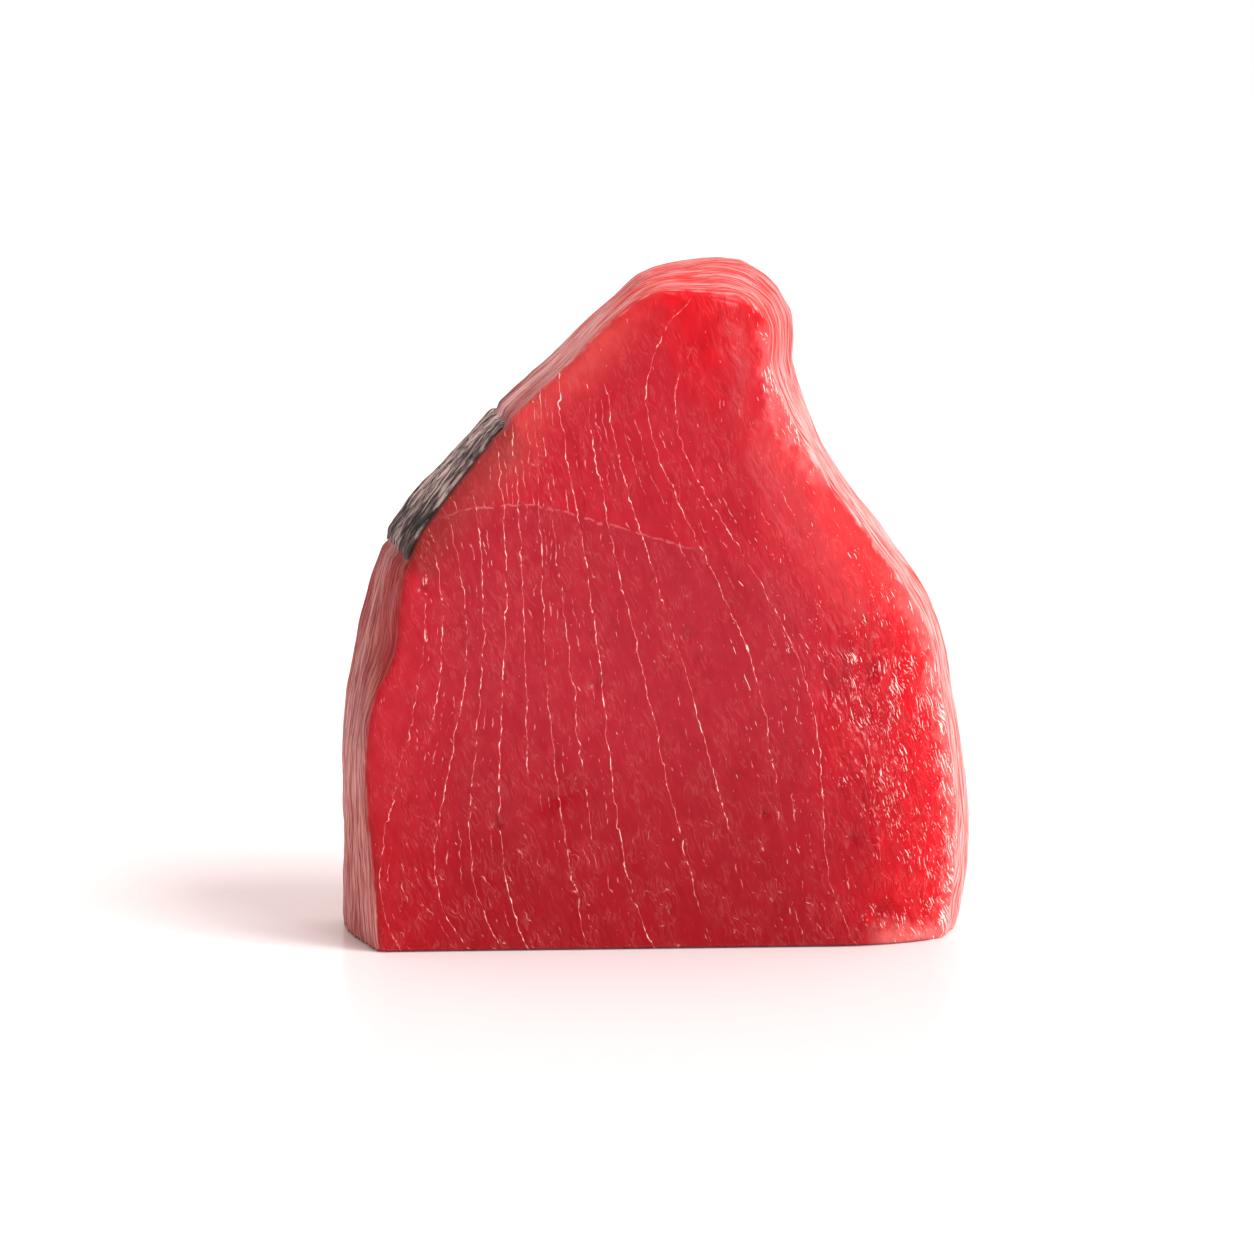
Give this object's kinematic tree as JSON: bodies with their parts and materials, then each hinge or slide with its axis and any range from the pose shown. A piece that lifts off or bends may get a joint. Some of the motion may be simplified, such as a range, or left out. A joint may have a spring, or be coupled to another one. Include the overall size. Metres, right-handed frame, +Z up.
{
  "type": "raw tuna steak",
  "caption": "Thick block of raw red tuna standing on a flat cut base, with flat cut faces, a rounded pale side that rises to a blunt peak, and a strip of dark skin.",
  "frame": {"origin": "middle of the bounding box in plan, on the surface the steak stands on", "axes": "+Z up from the flat base to the peak, +Y from the front cut face to the back cut face, +X to the right as the front face is seen"},
  "size_m": [0.1082, 0.0328, 0.1146],
  "materials": {
    "flesh": "wet raw flesh, deep pinkish red with thin pale beaded lines, brighter towards its edges, under a pale pink membrane on the outer side",
    "skin": "moist wrinkled fish skin, grey with near-black creases"
  },
  "bodies": {
    "root": {"tuna_flesh": "flesh", "skin_strip": "skin"}
  },
  "joints": []
}
